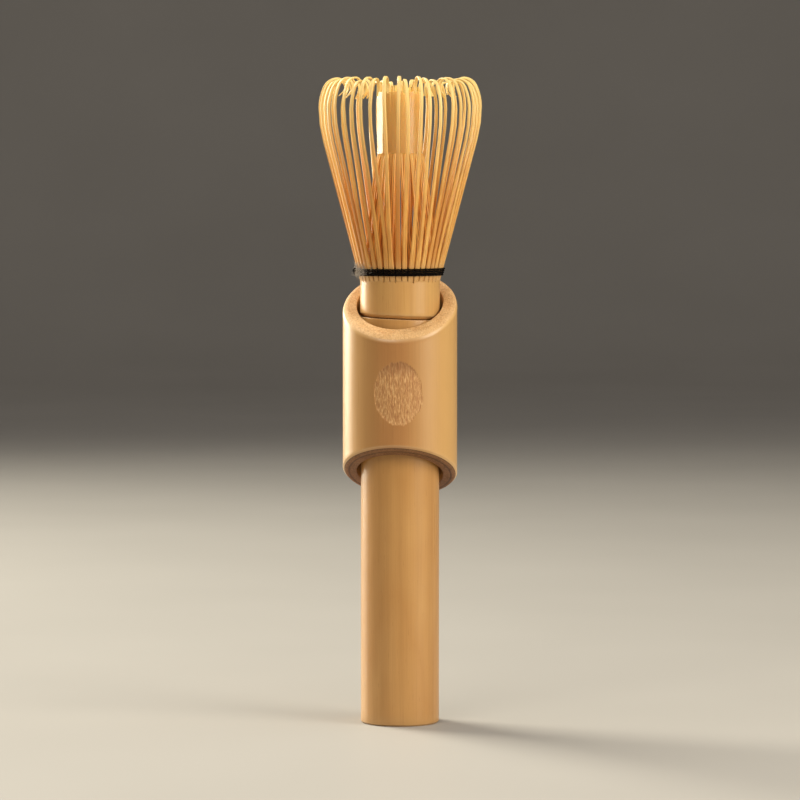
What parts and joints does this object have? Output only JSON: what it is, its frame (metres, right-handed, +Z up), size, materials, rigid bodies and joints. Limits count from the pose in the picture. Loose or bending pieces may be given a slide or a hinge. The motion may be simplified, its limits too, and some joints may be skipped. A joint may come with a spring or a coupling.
{
  "type": "bamboo tea whisk",
  "caption": "Long-handled bamboo tea whisk: hooked outer tines around an inner bundle held by a film tube, thread binding, and a slant-cut sleeve that slides and turns on the handle.",
  "frame": {"origin": "centre of the long handle's foot, on the surface that the whisk stands on", "axes": "+Z up along the handle to the tines, -Y towards the front, where the sleeve is cut short, and +X to the right"},
  "size_m": [0.0506, 0.0506, 0.1997],
  "materials": {
    "bamboo_handle": "satin polished bamboo cane",
    "bamboo_sleeve": "satin bamboo cane with bare cut ends",
    "bamboo_head": "satin bamboo cane",
    "bamboo_tines": "split and shaved bamboo",
    "dowel_wood": "plain turned wood",
    "black_thread": "twisted cotton thread",
    "clear_film": "clear glossy plastic film",
    "grip_rubber": "matt rubber"
  },
  "bodies": {
    "whisk": {"long_handle": "bamboo_handle", "joint_dowel": "dowel_wood", "whisk_handle": "bamboo_head", "outer_tines": "bamboo_tines", "inner_tines": "bamboo_tines", "thread_winding": "black_thread", "thread_weave": "black_thread", "thread_knot": "black_thread"},
    "film": {"film_tube": "clear_film"},
    "grip": {"grip_ring": "grip_rubber"},
    "holder": {"holder_sleeve": "bamboo_sleeve"}
  },
  "joints": [
    {"name": "film_slide", "type": "slide", "parent": "whisk", "child": "film", "axis": [0, 0, 1], "range_m": [0, 0.03]},
    {"name": "grip_slide", "type": "slide", "parent": "whisk", "child": "grip", "axis": [0, 0, 1], "range_m": [-0.068, 0.0015]},
    {"name": "holder_turn", "type": "hinge", "parent": "grip", "child": "holder", "pos_m": [0, 0, 0.103], "axis": [0, 0, 1], "continuous": true}
  ]
}
